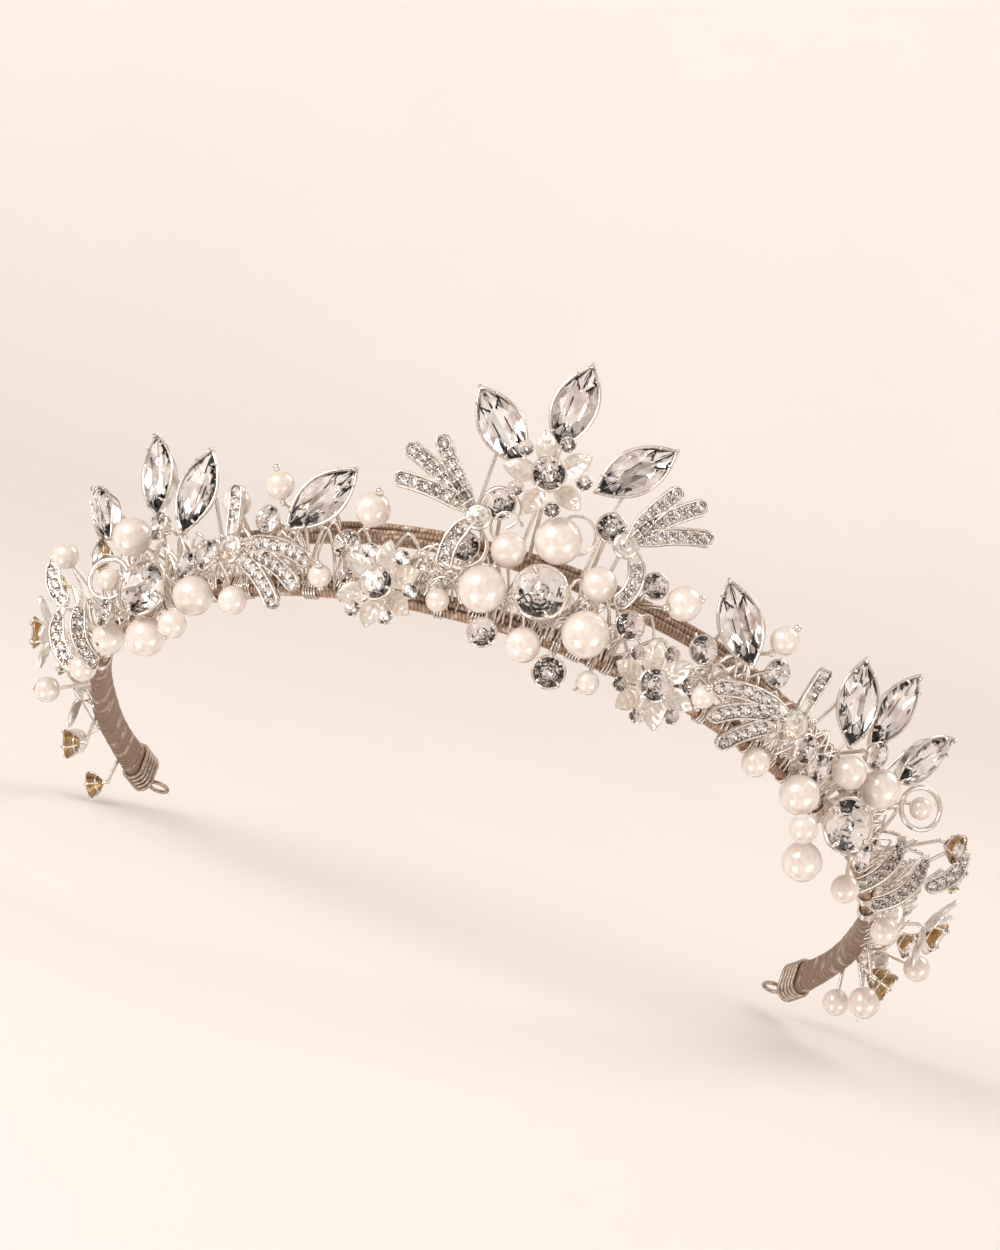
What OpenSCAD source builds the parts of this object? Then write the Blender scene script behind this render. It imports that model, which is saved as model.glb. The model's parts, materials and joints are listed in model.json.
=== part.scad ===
/* [Band] */
// Radius of the ring that the two rails follow
ring_r = 75; // [70:0.5:80]
// Half of the arc that the band covers, from the front to one end
band_half_arc = 118; // [116:1:120]
// How far the front is raised when the tiara sits on a head
wear_tilt = 32; // [0:1:45]
// How far the ornaments lean outward from the axis of the ring
flare = 20; // [12:1:24]
// Height of a wrapped rail
rail_h = 3.8; // [3.8:0.1:4.0]
// Thickness of a wrapped rail
rail_t = 2.2; // [2.0:0.1:2.4]
// Diameter of one core wire
core_wire_d = 0.85; // [0.7:0.05:0.85]
// Inside radius of the eyelet at each end
eyelet_r = 1.5; // [1.2:0.1:1.8]

/* [Pearls and stones] */
// Diameter of the three largest pearls
pearl_xl = 8; // [7:0.5:8]
// Diameter of the large pearls in the side clusters
pearl_l = 7; // [6:0.5:7]
// Diameter of the medium pearls
pearl_m = 6; // [5:0.5:6]
// Diameter of the small pearls
pearl_s = 5; // [4.5:0.5:5]
// Diameter of the smallest pearls
pearl_xs = 4; // [3:0.5:4]
// Length of a pointed oval stone
navette_l = 15; // [13:0.5:15]
// Width of a pointed oval stone
navette_w = 7; // [6:0.5:7]
// Diameter of the round stone at the centre
main_stone_d = 8.5; // [7.5:0.5:8.5]
// Diameter of the round stone in each side cluster
cluster_stone_d = 9; // [8:0.5:9]
// Diameter of the free pearls' turning wire
pin_d = 0.8; // [0.7:0.05:0.8]

/* [Hidden] */
$fn = 48;

silver = "gainsboro";
thread = "rosybrown";
pearl_white = "seashell";
crystal = "lightsteelblue";

// The upper rail rises towards the front and the lower rail stays level
upper_lift = 2.8;
upper_rise = 7.8;
lower_lift = 0.5;
rail_end_angle = 80;
join_lift = 2.3;
wrap_wall = 0.5;
core_count = 3;
end_wrap_h = 6.2;
end_wrap_t = 3;
coil_start_angle = 113;
coil_wall = 0.7;
loop_gap_angle = 0.1;
eyelet_wire = 0.8;
eyelet_t = 1;
eyelet_angle = band_half_arc + 3.4;

stem_d = 0.7;
stem_bead_d = 0.9;
stem_grip = 0.1;
turned_gap = 0.7;
stop_lead = 3;
stem_post = 1.2;
stem_shift = 1.4;
metal_t = 0.6;
finger_w = 2.8;
finger_end_d = 3;
knot_rise = 0.3;
finger_t = 1;
pave_d = 1.7;
pave_pitch = 2;
navette_back = 2.6;
petal_l = 6.6;
petal_w = 3.8;
petal_reach = 4.9;
petal_tilt = 18;
hub_r = 2.4;
flower_stone_d = 5.4;
bud_d = 2.5;
bud_reach = 5.9;
bud_lift = 2.6;
crest_petals = 5;
crest_phase = 40;
side_petals = 6;
spray_petals = 3;
right_flower_phase = -6;
left_flower_phase = 26;
right_rear_phase = 0;
left_rear_phase = 30;
cluster_turn = 20;
ring_turn = 40;
ring_r_small = 3.7;
ring_wire_d = 0.9;
fan_knot_r = 2.2;
bow_knot_r = 2.6;
fan_bare = 3.5;
bow_bare = 4.5;
pin_clear = 0.05;
stop_r = 0.65;
pin_overrun = 0.5;
touch = 0.03;
core_pitch = (rail_h - 2 * wrap_wall - core_wire_d) / 2 - pin_clear;

// Places on the ring: [angle from the front, height, distance out from the rails]
crest_place = [-0.5, 20.5, 8];
main_place = [2.5, 3.5, 7];
wire_ring_place = [-7.5, 8, 5];
right_fan_place = [9.5, 14.5, 8];
left_fan_place = [-6.5, 11.5, 8];
right_flower_place = [19, -1.5, 3];
left_flower_place = [-16.5, 0, 3];
right_bow_place = [38, 4.5, 4.5];
left_bow_place = [-38, 4, 4.5];
right_cluster_place = [52, -3.5, 8];
left_cluster_place = [-51.5, -2, 8];
right_pearl_ring_place = [61, 8, 9];
left_pearl_ring_place = [-59.5, 2, 8];
right_rear_flower_place = [87, 4, 9];
left_rear_flower_place = [-86, 6, 9];

// Sprays of three leaves: [angle, height, out, direction of the first leaf]
right_spray_places = [[75.5, 2, 4, 90], [100.5, 5, 4, 90]];
left_spray_places = [[-77, 3, 3.5, 42], [-97, 4, 4, 25]];

// Pointed oval stones: [angle, height, out, lean towards larger angles, turn towards larger angles]
crest_navette_places = [[-7.5, 29, 3, -43, 0], [-0.5, 35, 3, 6, 0], [8, 28.5, 3, 42, 0]];
right_navette_places = [
    [25.5, 13, 5, -40, -30], [44.5, 14, 5, -22, -25], [50.5, 18, 4.5, 2, -10], [59, 16, 6, 26, 0]
];
left_navette_places = [
    [-26, 12, 5, 40, 20], [-45, 14.5, 5, 16, 20], [-53.5, 20, 4.5, -6, 10], [-65.5, 17.5, 6, -34, 0]
];

// Pearls: [angle, height, out, diameter, optional angle from the pearl to its wire's end on the rail]
centre_pearl_places = [
    [2.5, 12.5, 6, pearl_xl], [-4, 1.5, 6.5, pearl_xl], [9, 0, 6.5, pearl_xl],
    [-2.5, 9, 5.5, pearl_m], [8.5, 8.5, 5.5, pearl_m], [2.5, -4.5, 5.5, pearl_m],
    [-9, -1, 4.5, pearl_xs], [11.5, -6, 4.5, pearl_xs]
];
right_pearl_places = [
    [43.5, -4.5, 6, pearl_l], [54, 5.5, 7, pearl_l], [51.5, -11, 4, pearl_l],
    [48.5, 4, 6, pearl_m], [44.5, -10.5, 10, pearl_s, 4.5], [36, -4, 4.5, pearl_s], [61, -9, 5.5, pearl_s]
];
left_pearl_places = [
    [-43, -4, 6, pearl_l], [-55.5, 8.5, 7, pearl_l], [-53.5, -8, 4.5, pearl_l],
    [-40, 13.5, 1.8, pearl_s], [-43.5, -10.5, 9.5, pearl_s, -4.5], [-37, -4.5, 4.5, pearl_s],
    [-62.5, -6, 5.5, pearl_m]
];
right_rear_pearl_places = [
    [76, -6, 7, pearl_s], [94.5, 1, 12, pearl_s], [96.5, -8, 8, pearl_m], [101.5, -7, 4, pearl_s]
];
left_rear_pearl_places = [
    [-74, 13, 9, pearl_s], [-91, -2, 10, pearl_s], [-103, -3, 7, pearl_s], [-71, -8, 6, pearl_s]
];

// Small round stones in cups: [angle, height, out, diameter]
centre_chaton_places = [
    [-5, 15.5, 6, 5.2], [-7.5, 8, 5, 4.6], [7.5, 17.5, 5.5, 4.6], [-2.5, -5, 6.5, 4.6],
    [6.5, -8, 7.5, 5.2], [13.5, 4.5, 5.5, 4.6], [14.5, 12, 5, 4.2]
];
right_chaton_places = [
    [23, 7, 4, 4.6], [32.5, 9.5, 5, 4.4], [39.5, 0.5, 8.6, 4.8], [44.5, 1.5, 5, 4.6], [50, 8.5, 7.5, 4.6],
    [57.5, -5.5, 8.5, 4.6], [71, 9, 12, 5], [86, 14.5, 9, 5], [80, -5, 11, 4.6],
    [91, -7, 10, 5], [99, -1, 8, 5]
];
left_chaton_places = [
    [-22, 5.5, 4, 4.6], [-33, 8.5, 5, 4.4], [-40, 1, 8.6, 4.8], [-45.5, 2, 5, 4.6], [-51, 9.5, 6, 4.6],
    [-59, -4.5, 9, 4.6], [-64.5, 9, 7, 5], [-87, 16, 9, 5], [-79, -3.5, 8, 4.6],
    [-97.5, -7.5, 7, 5], [-110.5, -6.5, 7, 4.6]
];

// Pearls that turn on their own wires: [angle, height, out, diameter, lean of the wire, tip outward]
right_inner_spin = [18, 10.5, 7, pearl_m, 50, -20];
left_inner_spin = [-19, 10.5, 6, pearl_m, 20, 30];
right_outer_spin = [31, 14, 6, pearl_s, 10, 20];
left_outer_spin = [-31.5, 13.5, 6, pearl_s, -10, 20];
right_small_spin = [24.5, -1.5, 8, pearl_xs, -10, 50];
left_small_spin = [-24, -1, 6, pearl_xs, 10, 50];

// Fingers of a bow: [direction of the chord, length, bend], seen from the front
bow_fingers = [[190, 18, 44], [205, 17, 40], [222, 15, 30], [90, 10, -12]];
right_fan_fingers = [[67, 12, -22], [49, 14, -26], [27, 13.5, -30], [286, 10.5, -100]];
left_fan_fingers = [[130, 14, -14], [149, 16, 14], [168, 14.5, 26], [250, 10, 60]];

// Loops of pave at the back of each side: [angle, height, out, direction, length, bend, turn]
right_rear_loop_places = [
    [66, 6, 5, 262, 14, -70, -75], [70, 6, 8, 262, 14, -70, -70], [79, 15, 9, 262, 10, -60, -60]
];
left_rear_loop_places = [
    [-69, 3, 7, 278, 13, 70, 75], [-74, 3, 9, 278, 12, 70, 70], [-79, 16, 9, 278, 10, 60, 60]
];

function upper_z(angle) = upper_lift + ring_r * sin(upper_rise) * cos(angle);
function reach(place) = ring_r + place[2] + place[1] * tan(flare);
function rail_z(place) =
    abs(place[0]) > rail_end_angle ? join_lift
    : place[1] > (upper_z(place[0]) + lower_lift) / 2 ? upper_z(place[0]) : lower_lift;
function ring_point(angle, radius, height) = [radius * sin(angle), -radius * cos(angle), height];
function behind(place, depth) =
    ring_point(place[0], reach(place) - depth * cos(flare), place[1] + depth * sin(flare));
function rail_grip(place, shift = 0) =
    ring_point(place[0] + shift, ring_r + rail_t / 2 - stem_grip, rail_z(place));

// Turns the ring into the attitude that it has on a head
module worn() { rotate([-wear_tilt, 0, 0]) children(); }

// Children face outward, with Y towards the crest and X towards larger angles
module on_ring(place, lean = 0, tip = 0, turn = 0) {
    rotate([0, 0, place[0]])
        translate([0, -reach(place), place[1]])
            rotate([90 + flare + tip, 0, 0])
                rotate([0, turn, 0])
                    rotate([0, 0, -lean])
                        children();
}

module rounded_section(height, thickness) {
    square([thickness, height - thickness], center = true);
    for (end = [-1, 1]) {
        translate([0, end * (height - thickness) / 2]) circle(d = thickness);
    }
}

module wrap_section(height, thickness, wall) {
    difference() {
        rounded_section(height, thickness);
        rounded_section(height - 2 * wall, thickness - 2 * wall);
    }
}

// An arc of the ring between two angles, with its section drawn round the ring line
module ring_arc(start_angle, end_angle) {
    rotate([0, 0, start_angle - 90])
        rotate_extrude(angle = end_angle - start_angle, $fn = 180)
            translate([ring_r, 0])
                children();
}

module upper_path() { translate([0, 0, upper_lift]) rotate([-upper_rise, 0, 0]) children(); }
module lower_path() { translate([0, 0, lower_lift]) children(); }

module core_wires() {
    for (i = [0 : core_count - 1]) {
        ring_arc(-rail_end_angle, rail_end_angle)
            translate([0, (i - (core_count - 1) / 2) * core_pitch])
                circle(d = core_wire_d);
    }
}

module rail_wrap() {
    ring_arc(-rail_end_angle, rail_end_angle) wrap_section(rail_h, rail_t, wrap_wall);
}

module upper_core_wires() { color(silver) worn() upper_path() core_wires(); }
module lower_core_wires() { color(silver) worn() lower_path() core_wires(); }
module upper_rail_wrap() { color(thread) worn() upper_path() rail_wrap(); }
module lower_rail_wrap() { color(thread) worn() lower_path() rail_wrap(); }

// The two rails are bound together behind the last ornament of each side
module end_wrap(side) {
    color(thread) worn() translate([0, 0, join_lift])
        ring_arc(side > 0 ? rail_end_angle + 1 : -band_half_arc, side > 0 ? band_half_arc : -rail_end_angle - 1)
            rounded_section(end_wrap_h, end_wrap_t);
}

module end_coil(side) {
    inner_h = end_wrap_h + 2 * pin_clear;
    inner_t = end_wrap_t + 2 * pin_clear;
    color(silver) worn() translate([0, 0, join_lift])
        ring_arc(side > 0 ? coil_start_angle : -band_half_arc, side > 0 ? band_half_arc : -coil_start_angle)
            difference() {
                rounded_section(inner_h + 2 * coil_wall, inner_t + 2 * coil_wall);
                rounded_section(inner_h, inner_t);
            }
}

// A flat eyelet on a short shank, for a ribbon or a hairpin
module end_loop(side) {
    shank_angle = side * (band_half_arc + loop_gap_angle);
    start = ring_point(shank_angle, ring_r, 0);
    centre = ring_point(side * eyelet_angle, ring_r, 0);
    color(silver) worn() translate([0, 0, join_lift])
        difference() {
            union() {
                translate(centre) cylinder(r = eyelet_r + eyelet_wire, h = eyelet_t, center = true);
                wire(start, centre, eyelet_t * 0.8);
            }
            translate(centre) cylinder(r = eyelet_r, h = 2 * eyelet_t, center = true);
        }
}

module wire(from, to, diameter) {
    run = to - from;
    length = norm(run);
    translate(from)
        rotate([0, acos(run[2] / length), atan2(run[1], run[0])])
            cylinder(d = diameter, h = length);
}

// A round stone with its widest line at Z = 0
module round_stone(diameter) {
    r = diameter / 2;
    rotate_extrude() polygon([[0, -0.85 * r], [r, 0], [0.62 * r, 0.32 * r], [0, 0.32 * r]]);
}

module round_cup(diameter) {
    r = diameter / 2;
    rotate_extrude() polygon([
        [0, -1.02 * r], [0.4 * r, -1.02 * r], [1.16 * r, -0.05 * r], [1.16 * r, 0.12 * r],
        [1.06 * r, 0.12 * r], [1.06 * r, -0.01 * r], [0, -0.93 * r]
    ]);
}

function cup_depth(diameter) = 0.51 * diameter;

// A pointed oval plate of the given length, width and height
module pointed_oval(length, width, height) {
    arc_r = (length * length + width * width) / (4 * width);
    intersection() {
        translate([arc_r - width / 2, 0, 0]) cylinder(r = arc_r, h = height, $fn = 96);
        translate([width / 2 - arc_r, 0, 0]) cylinder(r = arc_r, h = height, $fn = 96);
    }
}

module navette_stone() {
    translate([0, 0, -2.1]) pointed_oval(navette_l * 0.7, navette_w * 0.6, 1.7);
    translate([0, 0, -0.5]) pointed_oval(navette_l, navette_w, 0.9);
    translate([0, 0, 0.4]) pointed_oval(navette_l * 0.7, navette_w * 0.6, 0.9);
}

module navette_setting() {
    difference() {
        translate([0, 0, -navette_back]) pointed_oval(navette_l + 1.6, navette_w + 1, navette_back);
        translate([0, 0, -2.3]) pointed_oval(navette_l + 0.4, navette_w + 0.2, 3);
    }
}

module stones(places) {
    for (place = places) {
        on_ring(place) round_stone(place[3]);
    }
}

module cups(places) {
    for (place = places) {
        on_ring(place) round_cup(place[3]);
    }
}

module pearls(places) {
    for (place = places) {
        on_ring(place) sphere(d = place[3]);
    }
}

module navettes(places) {
    for (place = places) {
        on_ring(place, place[3], 0, place[4]) navette_stone();
    }
}

module navette_settings(places) {
    for (place = places) {
        on_ring(place, place[3], 0, place[4]) navette_setting();
    }
}

// One stamped flower: leaves round a flat hub
module flower(petals, phase) {
    cylinder(r = hub_r, h = metal_t);
    for (i = [0 : petals - 1]) {
        rotate([0, 0, phase + i * 360 / petals])
            translate([hub_r * 0.7, 0, 0])
                rotate([0, -petal_tilt, 0])
                    translate([petal_reach - hub_r * 0.7, 0, 0])
                        rotate([0, 0, 90])
                            pointed_oval(petal_l, petal_w, metal_t);
    }
}

// Places children at each bud between the leaves of a flower
module at_buds(petals, phase) {
    for (i = [0 : petals - 1]) {
        rotate([0, 0, phase + (i + 0.5) * 360 / petals])
            translate([bud_reach, 0, bud_lift])
                children();
    }
}

module at_flower_heart() {
    translate([0, 0, metal_t + touch + cup_depth(flower_stone_d)]) children();
}

// A curved bar that leaves the origin; its chord points along the given direction
module finger(spec) {
    bend = abs(spec[2]);
    turn = sign(spec[2]);
    arc_r = spec[1] / (bend * PI / 180);
    rotate([0, 0, spec[0]])
        mirror([0, turn < 0 ? 1 : 0, 0])
            rotate([0, 0, -bend / 2])
                translate([0, arc_r, 0])
                    rotate([0, 0, -90]) {
                        rotate_extrude(angle = bend)
                            translate([arc_r - finger_w / 2, 0])
                                square([finger_w, finger_t]);
                        rotate([0, 0, bend])
                            translate([arc_r, 0, 0])
                                cylinder(d = finger_end_d, h = finger_t);
                    }
}

// A row of small stones along the outer part of a finger
module finger_stones(spec, skip) {
    bend = abs(spec[2]);
    turn = sign(spec[2]);
    arc_r = spec[1] / (bend * PI / 180);
    count = floor((spec[1] - skip) / pave_pitch);
    rotate([0, 0, spec[0]])
        mirror([0, turn < 0 ? 1 : 0, 0])
            rotate([0, 0, -bend / 2])
                translate([0, arc_r, 0])
                    for (i = [0 : count]) {
                        rotate([0, 0, -90 + bend * (1 - i * pave_pitch / spec[1])])
                            translate([arc_r, 0, finger_t + touch])
                                cylinder(d1 = pave_d, d2 = pave_d * 0.6, h = 0.6);
                    }
}

module finger_group(fingers, knot_r) {
    cylinder(r = knot_r, h = finger_t + knot_rise);
    for (spec = fingers) {
        finger(spec);
    }
}

module finger_group_stones(fingers, skip) {
    for (spec = fingers) {
        finger_stones(spec, skip);
    }
}

// A wire straight to the nearer rail from the surface of each pearl
module pearl_stems(places) {
    for (place = places) {
        centre = behind(place, 0);
        grip = rail_grip(place, len(place) > 4 ? place[4] : 0);
        start = centre + (grip - centre) * (place[3] / 2 + touch) / norm(grip - centre);
        wire(start, grip, stem_d);
    }
}

// A wire that leaves the back of an ornament squarely and then bends to the nearer rail
module stem(place, depth, shift = 0) {
    bend = behind(place, depth + stem_post);
    wire(behind(place, depth + touch), bend, stem_d);
    translate(bend) sphere(d = stem_bead_d);
    wire(bend, rail_grip(place, shift), stem_d);
}

module cup_stems(places) {
    for (place = places) {
        stem(place, cup_depth(place[3]));
    }
}

module plate_stems(places, depth = 0, shift = 0) {
    for (place = places) {
        stem(place, depth, shift);
    }
}

// The wire that a free pearl turns on, with a stop at each end
module turning_pin(spin) {
    half = spin[3] / 2 + pin_overrun;
    on_ring(spin, spin[4], spin[5]) {
        rotate([-90, 0, 0]) cylinder(d = pin_d, h = 2 * half, center = true);
        translate([0, half, 0]) sphere(r = stop_r);
        translate([0, -half, 0]) sphere(r = stop_r);
    }
}

// The wire from the lower stop to the rail
function lower_stop(spin) =
    let (half = spin[3] / 2 + pin_overrun,
         slope = flare + spin[5],
         side_shift = -half * sin(spin[4]),
         up_shift = -half * cos(spin[4]),
         radius = reach(spin) + up_shift * sin(slope),
         height = spin[1] + up_shift * cos(slope))
    ring_point(spin[0], radius, height) + side_shift * [cos(spin[0]), sin(spin[0]), 0];

module turning_stem(spin) {
    turning_pin(spin);
    wire(lower_stop(spin), rail_grip(spin, -sign(spin[4]) * stop_lead), stem_d);
}

module free_pearl(spin) {
    color(pearl_white) worn() on_ring(spin, spin[4], spin[5])
        difference() {
            sphere(d = spin[3]);
            rotate([-90, 0, 0]) cylinder(d = pin_d + 2 * pin_clear, h = 2 * spin[3], center = true);
        }
}

module right_end_wrap() { end_wrap(1); }
module left_end_wrap() { end_wrap(-1); }
module right_end_coil() { end_coil(1); }
module left_end_coil() { end_coil(-1); }
module right_end_loop() { end_loop(1); }
module left_end_loop() { end_loop(-1); }

module crest_flower() { color(silver) worn() on_ring(crest_place) flower(crest_petals, crest_phase); }
module crest_navettes() { color(crystal) worn() navettes(crest_navette_places); }
module crest_navette_settings() { color(silver) worn() navette_settings(crest_navette_places); }
module centre_pearls() { color(pearl_white) worn() pearls(centre_pearl_places); }
module centre_main_stone() { color(crystal) worn() on_ring(main_place) round_stone(main_stone_d); }
module centre_main_cup() { color(silver) worn() on_ring(main_place) round_cup(main_stone_d); }

module centre_chatons() {
    color(crystal) worn() {
        stones(centre_chaton_places);
        on_ring(crest_place) {
            at_flower_heart() round_stone(flower_stone_d);
            at_buds(crest_petals, crest_phase) round_stone(bud_d);
        }
    }
}

module centre_chaton_cups() {
    color(silver) worn() {
        cups(centre_chaton_places);
        on_ring(crest_place) {
            at_flower_heart() round_cup(flower_stone_d);
            at_buds(crest_petals, crest_phase) round_cup(bud_d);
        }
    }
}

module centre_wire_ring() {
    color(silver) worn() on_ring(wire_ring_place)
        rotate_extrude() translate([ring_r_small, 0]) circle(d = ring_wire_d);
}

module centre_stems() {
    color(silver) worn() {
        pearl_stems(centre_pearl_places);
        cup_stems(centre_chaton_places);
        plate_stems(crest_navette_places, navette_back, -stem_shift);
        plate_stems([crest_place, right_fan_place, left_fan_place]);
        stem(main_place, cup_depth(main_stone_d), stem_shift);
    }
}

module right_fan() { color(silver) worn() on_ring(right_fan_place) finger_group(right_fan_fingers, fan_knot_r); }
module left_fan() { color(silver) worn() on_ring(left_fan_place) finger_group(left_fan_fingers, fan_knot_r); }

module right_fan_stones() {
    color(crystal) worn() on_ring(right_fan_place) finger_group_stones(right_fan_fingers, fan_bare);
}

module left_fan_stones() {
    color(crystal) worn() on_ring(left_fan_place) finger_group_stones(left_fan_fingers, fan_bare);
}

module side_flower(place, phase) { color(silver) worn() on_ring(place) flower(side_petals, phase); }

module right_flower() { side_flower(right_flower_place, right_flower_phase); }
module left_flower() { side_flower(left_flower_place, left_flower_phase); }

module right_bow() { color(silver) worn() on_ring(right_bow_place) finger_group(bow_fingers, bow_knot_r); }

module left_bow() {
    color(silver) worn() on_ring(left_bow_place)
        mirror([1, 0, 0]) finger_group(bow_fingers, bow_knot_r);
}

module right_bow_stones() {
    color(crystal) worn() on_ring(right_bow_place) finger_group_stones(bow_fingers, bow_bare);
}

module left_bow_stones() {
    color(crystal) worn() on_ring(left_bow_place)
        mirror([1, 0, 0]) finger_group_stones(bow_fingers, bow_bare);
}

module right_navettes() { color(crystal) worn() navettes(right_navette_places); }
module left_navettes() { color(crystal) worn() navettes(left_navette_places); }
module right_navette_settings() { color(silver) worn() navette_settings(right_navette_places); }
module left_navette_settings() { color(silver) worn() navette_settings(left_navette_places); }
module right_pearls() { color(pearl_white) worn() pearls(right_pearl_places); }
module left_pearls() { color(pearl_white) worn() pearls(left_pearl_places); }

module cluster_stone(place, turn) {
    color(crystal) worn() on_ring(place, 0, 0, turn) round_stone(cluster_stone_d);
}

module cluster_cup(place, turn) {
    color(silver) worn() on_ring(place, 0, 0, turn) round_cup(cluster_stone_d);
}

module right_cluster_stone() { cluster_stone(right_cluster_place, -cluster_turn); }
module left_cluster_stone() { cluster_stone(left_cluster_place, cluster_turn); }
module right_cluster_cup() { cluster_cup(right_cluster_place, -cluster_turn); }
module left_cluster_cup() { cluster_cup(left_cluster_place, cluster_turn); }

// Every small stone of one side: on stems, at the flowers' hearts and between their leaves
module side_chatons(places, flower_place, phase, rear_place) {
    color(crystal) worn() {
        stones(places);
        on_ring(flower_place) {
            at_flower_heart() round_stone(flower_stone_d);
            at_buds(side_petals, phase) round_stone(bud_d);
        }
        on_ring(rear_place) at_flower_heart() round_stone(flower_stone_d);
    }
}

module side_cups(places, flower_place, phase, rear_place) {
    color(silver) worn() {
        cups(places);
        on_ring(flower_place) {
            at_flower_heart() round_cup(flower_stone_d);
            at_buds(side_petals, phase) round_cup(bud_d);
        }
        on_ring(rear_place) at_flower_heart() round_cup(flower_stone_d);
    }
}

module right_chatons() {
    side_chatons(right_chaton_places, right_flower_place, right_flower_phase, right_rear_flower_place);
}

module left_chatons() {
    side_chatons(left_chaton_places, left_flower_place, left_flower_phase, left_rear_flower_place);
}

module right_chaton_cups() {
    side_cups(right_chaton_places, right_flower_place, right_flower_phase, right_rear_flower_place);
}

module left_chaton_cups() {
    side_cups(left_chaton_places, left_flower_place, left_flower_phase, left_rear_flower_place);
}

// A bent wire ring round a small pearl
module pearl_ring(place, turn) {
    color(silver) worn() on_ring(place, 0, 0, turn)
        rotate_extrude() translate([ring_r_small, 0]) circle(d = ring_wire_d);
}

module right_pearl_ring() { pearl_ring(right_pearl_ring_place, -ring_turn); }
module left_pearl_ring() { pearl_ring(left_pearl_ring_place, ring_turn); }

module rear_loops(places) {
    color(silver) worn()
        for (place = places) {
            on_ring(place, 0, 0, place[6]) finger([place[3], place[4], place[5]]);
        }
}

module right_rear_loops() { rear_loops(right_rear_loop_places); }
module left_rear_loops() { rear_loops(left_rear_loop_places); }

// The flower at the back of a side and the sprays of three leaves round it
module rear_flowers(place, phase, spray_places) {
    side_flower(place, phase);
    color(silver) worn()
        for (spray = spray_places) {
            on_ring(spray) flower(spray_petals, spray[3]);
        }
}

module right_rear_flowers() { rear_flowers(right_rear_flower_place, right_rear_phase, right_spray_places); }
module left_rear_flowers() { rear_flowers(left_rear_flower_place, left_rear_phase, left_spray_places); }

module rear_pearls(places, ring_place) {
    color(pearl_white) worn() {
        pearls(places);
        on_ring(ring_place) sphere(d = pearl_xs);
    }
}

module right_rear_pearls() { rear_pearls(right_rear_pearl_places, right_pearl_ring_place); }
module left_rear_pearls() { rear_pearls(left_rear_pearl_places, left_pearl_ring_place); }

module side_stems(pearl_places, chaton_places, navette_places, cluster, plates, loops, ring_place, spins) {
    color(silver) worn() {
        pearl_stems(pearl_places);
        cup_stems(chaton_places);
        plate_stems(navette_places, navette_back + turned_gap);
        plate_stems(plates);
        plate_stems(loops, turned_gap);
        stem(cluster, cup_depth(cluster_stone_d) + turned_gap);
        stem(ring_place, pearl_xs / 2);
        for (spin = spins) {
            turning_stem(spin);
        }
    }
}

module right_stems() {
    side_stems(
        concat(right_pearl_places, right_rear_pearl_places), right_chaton_places, right_navette_places,
        right_cluster_place,
        concat([right_flower_place, right_bow_place, right_rear_flower_place], right_spray_places),
        right_rear_loop_places, right_pearl_ring_place,
        [right_inner_spin, right_outer_spin, right_small_spin]);
}

module left_stems() {
    side_stems(
        concat(left_pearl_places, left_rear_pearl_places), left_chaton_places, left_navette_places,
        left_cluster_place,
        concat([left_flower_place, left_bow_place, left_rear_flower_place], left_spray_places),
        left_rear_loop_places, left_pearl_ring_place,
        [left_inner_spin, left_outer_spin, left_small_spin]);
}

module right_free_pearl_inner() { free_pearl(right_inner_spin); }
module left_free_pearl_inner() { free_pearl(left_inner_spin); }
module right_free_pearl_outer() { free_pearl(right_outer_spin); }
module left_free_pearl_outer() { free_pearl(left_outer_spin); }
module right_free_pearl_small() { free_pearl(right_small_spin); }
module left_free_pearl_small() { free_pearl(left_small_spin); }

upper_core_wires();
lower_core_wires();
upper_rail_wrap();
lower_rail_wrap();
right_end_wrap();
left_end_wrap();
right_end_coil();
left_end_coil();
right_end_loop();
left_end_loop();
crest_flower();
crest_navettes();
crest_navette_settings();
centre_pearls();
centre_main_stone();
centre_main_cup();
centre_chatons();
centre_chaton_cups();
centre_wire_ring();
centre_stems();
right_fan();
left_fan();
right_fan_stones();
left_fan_stones();
right_flower();
left_flower();
right_bow();
left_bow();
right_bow_stones();
left_bow_stones();
right_navettes();
left_navettes();
right_navette_settings();
left_navette_settings();
right_pearls();
left_pearls();
right_cluster_stone();
left_cluster_stone();
right_cluster_cup();
left_cluster_cup();
right_chatons();
left_chatons();
right_chaton_cups();
left_chaton_cups();
right_stems();
left_stems();
right_pearl_ring();
left_pearl_ring();
right_rear_loops();
left_rear_loops();
right_rear_flowers();
left_rear_flowers();
right_rear_pearls();
left_rear_pearls();
right_free_pearl_inner();
left_free_pearl_inner();
right_free_pearl_outer();
left_free_pearl_outer();
right_free_pearl_small();
left_free_pearl_small();
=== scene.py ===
"""The look of the bridal tiara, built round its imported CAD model.

Every piece is made in millimetres in the frame of the ring that the two rails
follow: +Z towards the crest, -Y towards the front, angle 0 at the front.
Mesh.build() turns it into the row's frame, which is worn tilted, in metres.
"""

import json
import math
import random

import bmesh
import bpy
import numpy as np
from mathutils import Matrix, Vector


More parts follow.
